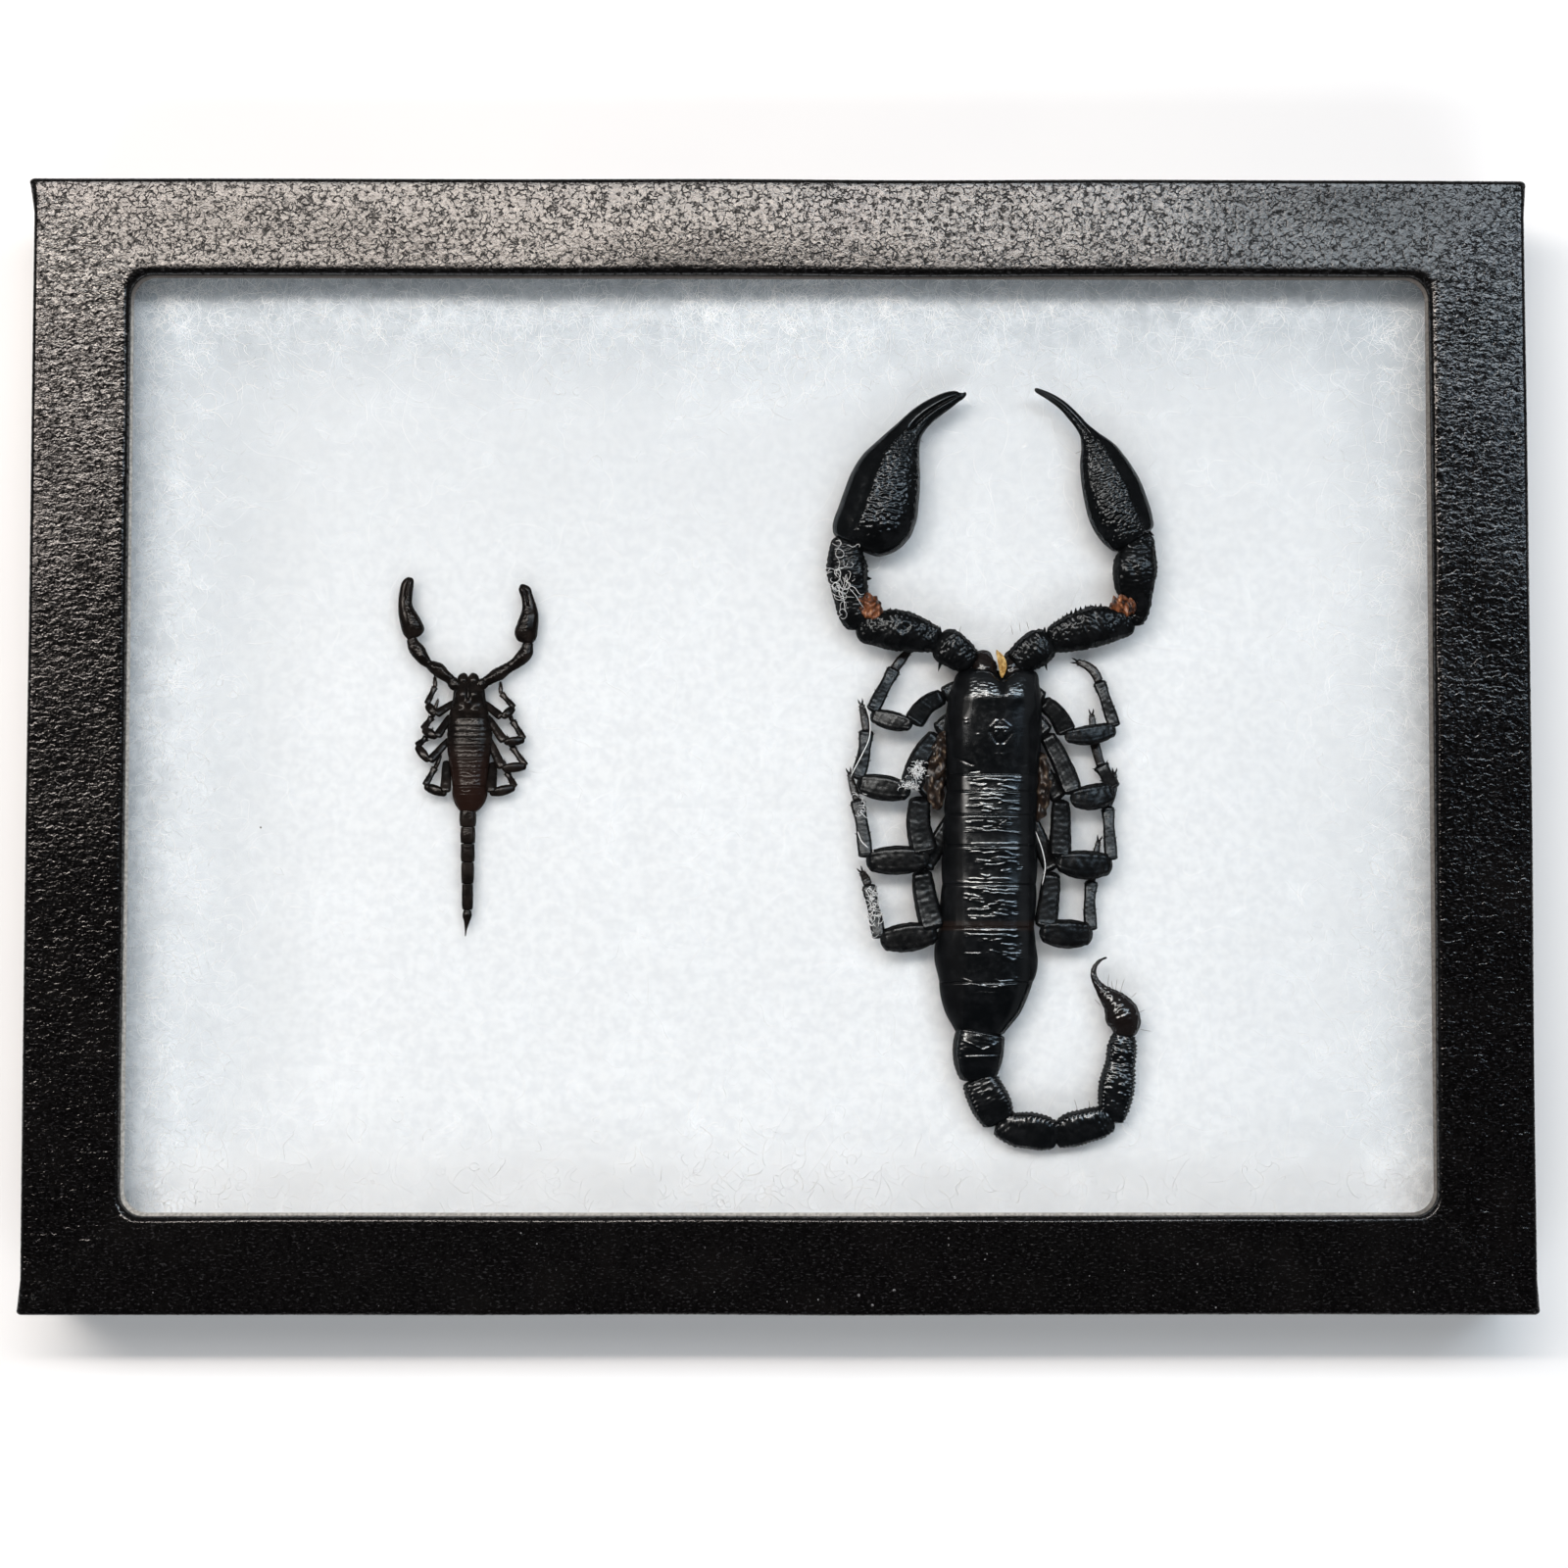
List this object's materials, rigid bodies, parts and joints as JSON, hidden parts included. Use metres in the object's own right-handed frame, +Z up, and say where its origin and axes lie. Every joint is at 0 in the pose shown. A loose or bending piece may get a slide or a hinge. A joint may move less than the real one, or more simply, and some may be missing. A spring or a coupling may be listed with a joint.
{
  "type": "framed scorpion specimen",
  "caption": "Shallow black display case with a glass window, showing a large and a small dried scorpion laid on white batting.",
  "frame": {"origin": "middle of the underside of the case, which lies on its back with the glass up", "axes": "+X along the long side, +Y the way the scorpions face, +Z up through the glass"},
  "size_m": [0.222, 0.168, 0.022],
  "materials": {
    "black_paper": "satin grained leatherette paper over board",
    "glass": "clear flat glass",
    "batting": "white polyester batting",
    "large_cuticle": "glossy black cuticle, dull and bumpy on the pincers",
    "small_cuticle": "dull dark brown cuticle"
  },
  "bodies": {
    "root": {"case_tray": "black_paper", "case_lid": "black_paper", "glass_pane": "glass", "batting": "batting", "large_body": "large_cuticle", "large_tail": "large_cuticle", "large_pincer_left": "large_cuticle", "large_pincer_right": "large_cuticle", "large_leg_left_1": "large_cuticle", "large_leg_left_2": "large_cuticle", "large_leg_left_3": "large_cuticle", "large_leg_left_4": "large_cuticle", "large_leg_right_1": "large_cuticle", "large_leg_right_2": "large_cuticle", "large_leg_right_3": "large_cuticle", "large_leg_right_4": "large_cuticle", "small_body": "small_cuticle", "small_tail": "small_cuticle", "small_pincer_left": "small_cuticle", "small_pincer_right": "small_cuticle", "small_leg_left_1": "small_cuticle", "small_leg_left_2": "small_cuticle", "small_leg_left_3": "small_cuticle", "small_leg_left_4": "small_cuticle", "small_leg_right_1": "small_cuticle", "small_leg_right_2": "small_cuticle", "small_leg_right_3": "small_cuticle", "small_leg_right_4": "small_cuticle"}
  },
  "joints": []
}
